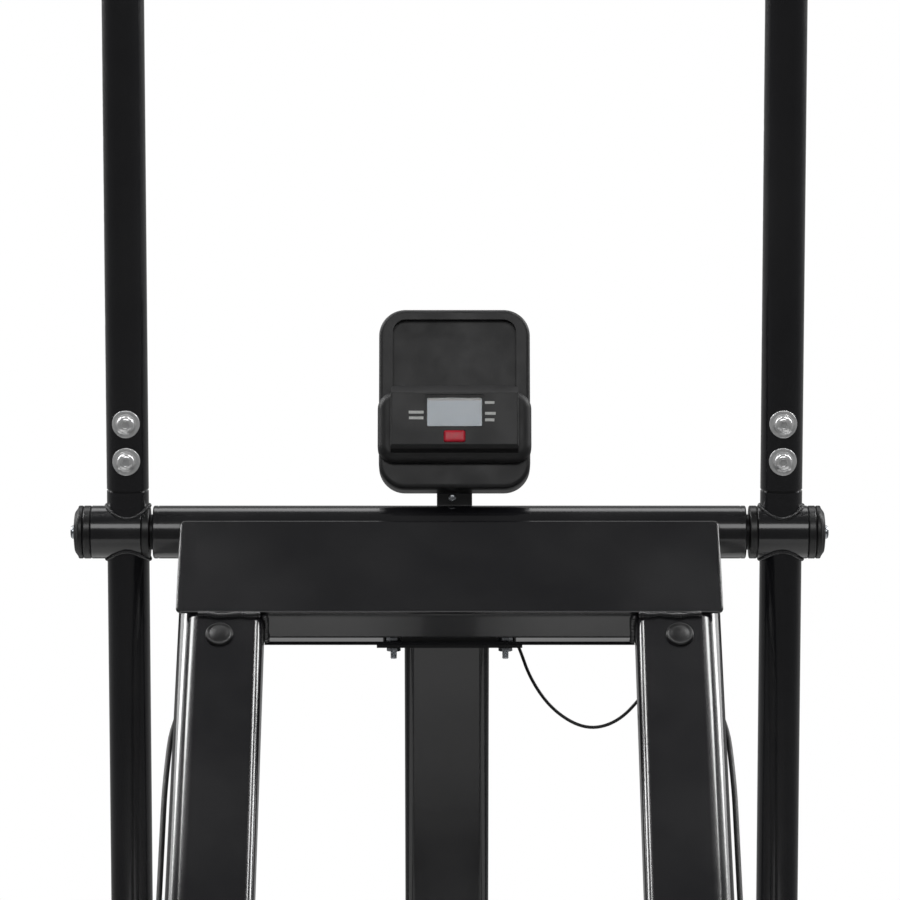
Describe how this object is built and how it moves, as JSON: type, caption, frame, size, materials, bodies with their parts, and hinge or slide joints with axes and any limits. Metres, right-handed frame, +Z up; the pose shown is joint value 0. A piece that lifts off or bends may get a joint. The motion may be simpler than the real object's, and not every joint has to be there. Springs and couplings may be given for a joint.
{
  "type": "vertical climber",
  "caption": "Vertical climber with inclined twin rails, leaning rear post, two counter-swinging arms with handles, sliding foot carriages and a small display console.",
  "frame": {"origin": "on the floor, under the middle of the machine's overall box", "axes": "+X to the user's right along the axle, +Y away from the user, +Z up"},
  "size_m": [0.6862, 1.263, 1.7205],
  "materials": {
    "black_gloss_steel": "gloss black powder coat on welded steel",
    "moulded_black": "moulded polyethylene, satin",
    "console_abs": "fine spark-textured ABS",
    "nylon_bush": "moulded black nylon",
    "bright_steel": "turned steel",
    "zinc_hardware": "bright zinc plate",
    "chrome_hardware": "polished nickel-chrome plate",
    "foam_grip": "closed-cell foam",
    "rubber_feet": "moulded rubber",
    "roller_urethane": "cast urethane tread on a nylon hub",
    "pedal_nylon": "glass-filled nylon with grip ribs",
    "cable_jacket": "extruded PVC jacket",
    "wire_steel": "stranded steel wire with pressed lug",
    "magnet_nickel": "nickel plate",
    "clear_window": "clear acrylic over the display",
    "display_grey": "reflective liquid-crystal panel",
    "board_green": "solder mask on glass-epoxy board",
    "cell_jacket": "printed cell jacket, plain",
    "red_key": "translucent red moulded key"
  },
  "bodies": {
    "frame": {"rail_left": "black_gloss_steel", "rail_right": "black_gloss_steel", "rail_plugs": "moulded_black", "cover_plate": "black_gloss_steel", "cross_tube": "black_gloss_steel", "post_head": "black_gloss_steel", "rear_post": "black_gloss_steel", "axle_tube": "black_gloss_steel", "axle_shaft": "bright_steel", "axle_caps": "moulded_black", "frame_bolts": "zinc_hardware", "front_base": "black_gloss_steel", "rear_base": "black_gloss_steel", "floor_beam": "black_gloss_steel", "base_end_caps": "moulded_black", "levelling_feet": "rubber_feet", "wheel_bolts": "bright_steel", "balance_sheath": "cable_jacket", "sheath_clips": "black_gloss_steel", "stride_sensor": "moulded_black", "sensor_lead": "cable_jacket", "console_back": "console_abs", "console_front": "console_abs", "display_window": "clear_window", "display_module": "display_grey", "circuit_board": "board_green", "battery_cells": "cell_jacket", "battery_door": "console_abs", "console_screws": "zinc_hardware", "console_bracket": "black_gloss_steel"},
    "arm_left": {"swing_arm_left": "black_gloss_steel", "arm_bushes_left": "nylon_bush", "handle_tube_left": "black_gloss_steel", "handle_grip_left": "foam_grip", "handle_cap_left": "moulded_black", "handle_bolts_left": "chrome_hardware", "pivot_pin_left": "bright_steel"},
    "foot_left": {"foot_bar_left": "black_gloss_steel", "foot_bar_cap_left": "moulded_black", "foot_pedal_left": "pedal_nylon", "roller_axle_left": "bright_steel"},
    "rollers_left": {"rail_rollers_left": "roller_urethane"},
    "cable_left": {"cable_drive_left": "wire_steel"},
    "wheel_left": {"wheel_left": "roller_urethane"},
    "arm_right": {"swing_arm_right": "black_gloss_steel", "arm_bushes_right": "nylon_bush", "handle_tube_right": "black_gloss_steel", "handle_grip_right": "foam_grip", "handle_cap_right": "moulded_black", "handle_bolts_right": "chrome_hardware", "pivot_pin_right": "bright_steel", "stride_magnet": "magnet_nickel"},
    "foot_right": {"foot_bar_right": "black_gloss_steel", "foot_bar_cap_right": "moulded_black", "foot_pedal_right": "pedal_nylon", "roller_axle_right": "bright_steel"},
    "rollers_right": {"rail_rollers_right": "roller_urethane"},
    "cable_right": {"cable_drive_right": "wire_steel"},
    "wheel_right": {"wheel_right": "roller_urethane"},
    "mode_key": {"mode_button": "red_key"}
  },
  "joints": [
    {"name": "left_swing", "type": "hinge", "parent": "frame", "child": "arm_left", "pos_m": [-0.301, 0.28804, 1], "axis": [1, 0, 0], "range_deg": [-9, 9]},
    {"name": "left_foot_pivot", "type": "hinge", "parent": "arm_left", "child": "foot_left", "pos_m": [-0.291, 0.37433, 0.38603], "axis": [1, 0, 0], "range_deg": [-17, 17]},
    {"name": "left_roller_spin", "type": "hinge", "parent": "foot_left", "child": "rollers_left", "pos_m": [-0.203, -0.37034, 0.3], "axis": [1, 0, 0], "range_deg": [-270, 270]},
    {"name": "left_cable_slide", "type": "slide", "parent": "frame", "child": "cable_left", "axis": [0, 0.6428, 0.766], "range_m": [-0.14, 0.14]},
    {"name": "left_wheel_spin", "type": "hinge", "parent": "frame", "child": "wheel_left", "pos_m": [-0.23, 0.60149, 0.036], "axis": [1, 0, 0], "continuous": true},
    {"name": "right_swing", "type": "hinge", "parent": "frame", "child": "arm_right", "pos_m": [0.301, 0.28804, 1], "axis": [1, 0, 0], "range_deg": [-9, 9]},
    {"name": "right_foot_pivot", "type": "hinge", "parent": "arm_right", "child": "foot_right", "pos_m": [0.3, 0.37433, 0.38603], "axis": [1, 0, 0], "range_deg": [-17, 17]},
    {"name": "right_roller_spin", "type": "hinge", "parent": "foot_right", "child": "rollers_right", "pos_m": [0.203, -0.37034, 0.3], "axis": [1, 0, 0], "range_deg": [-270, 270]},
    {"name": "right_cable_slide", "type": "slide", "parent": "frame", "child": "cable_right", "axis": [0, 0.6428, 0.766], "range_m": [-0.14, 0.14]},
    {"name": "right_wheel_spin", "type": "hinge", "parent": "frame", "child": "wheel_right", "pos_m": [0.23, 0.60149, 0.036], "axis": [1, 0, 0], "continuous": true},
    {"name": "mode_press", "type": "slide", "parent": "frame", "child": "mode_key", "axis": [0, 0.9781, -0.2079], "range_m": [0, 0.0015], "stiffness_N_per_m": 600, "springref_m": -0.001}
  ],
  "couplings": [
    {"joint": "right_swing", "follows": "left_swing", "ratio": -1},
    {"joint": "left_foot_pivot", "follows": "left_swing", "ratio": -1.7618},
    {"joint": "right_foot_pivot", "follows": "left_swing", "ratio": 1.7618},
    {"joint": "left_roller_spin", "follows": "left_swing", "ratio": -27.678},
    {"joint": "right_roller_spin", "follows": "left_swing", "ratio": 27.678},
    {"joint": "left_cable_slide", "follows": "left_swing", "m_per_rad": 0.8532},
    {"joint": "right_cable_slide", "follows": "left_swing", "m_per_rad": -0.8532}
  ]
}
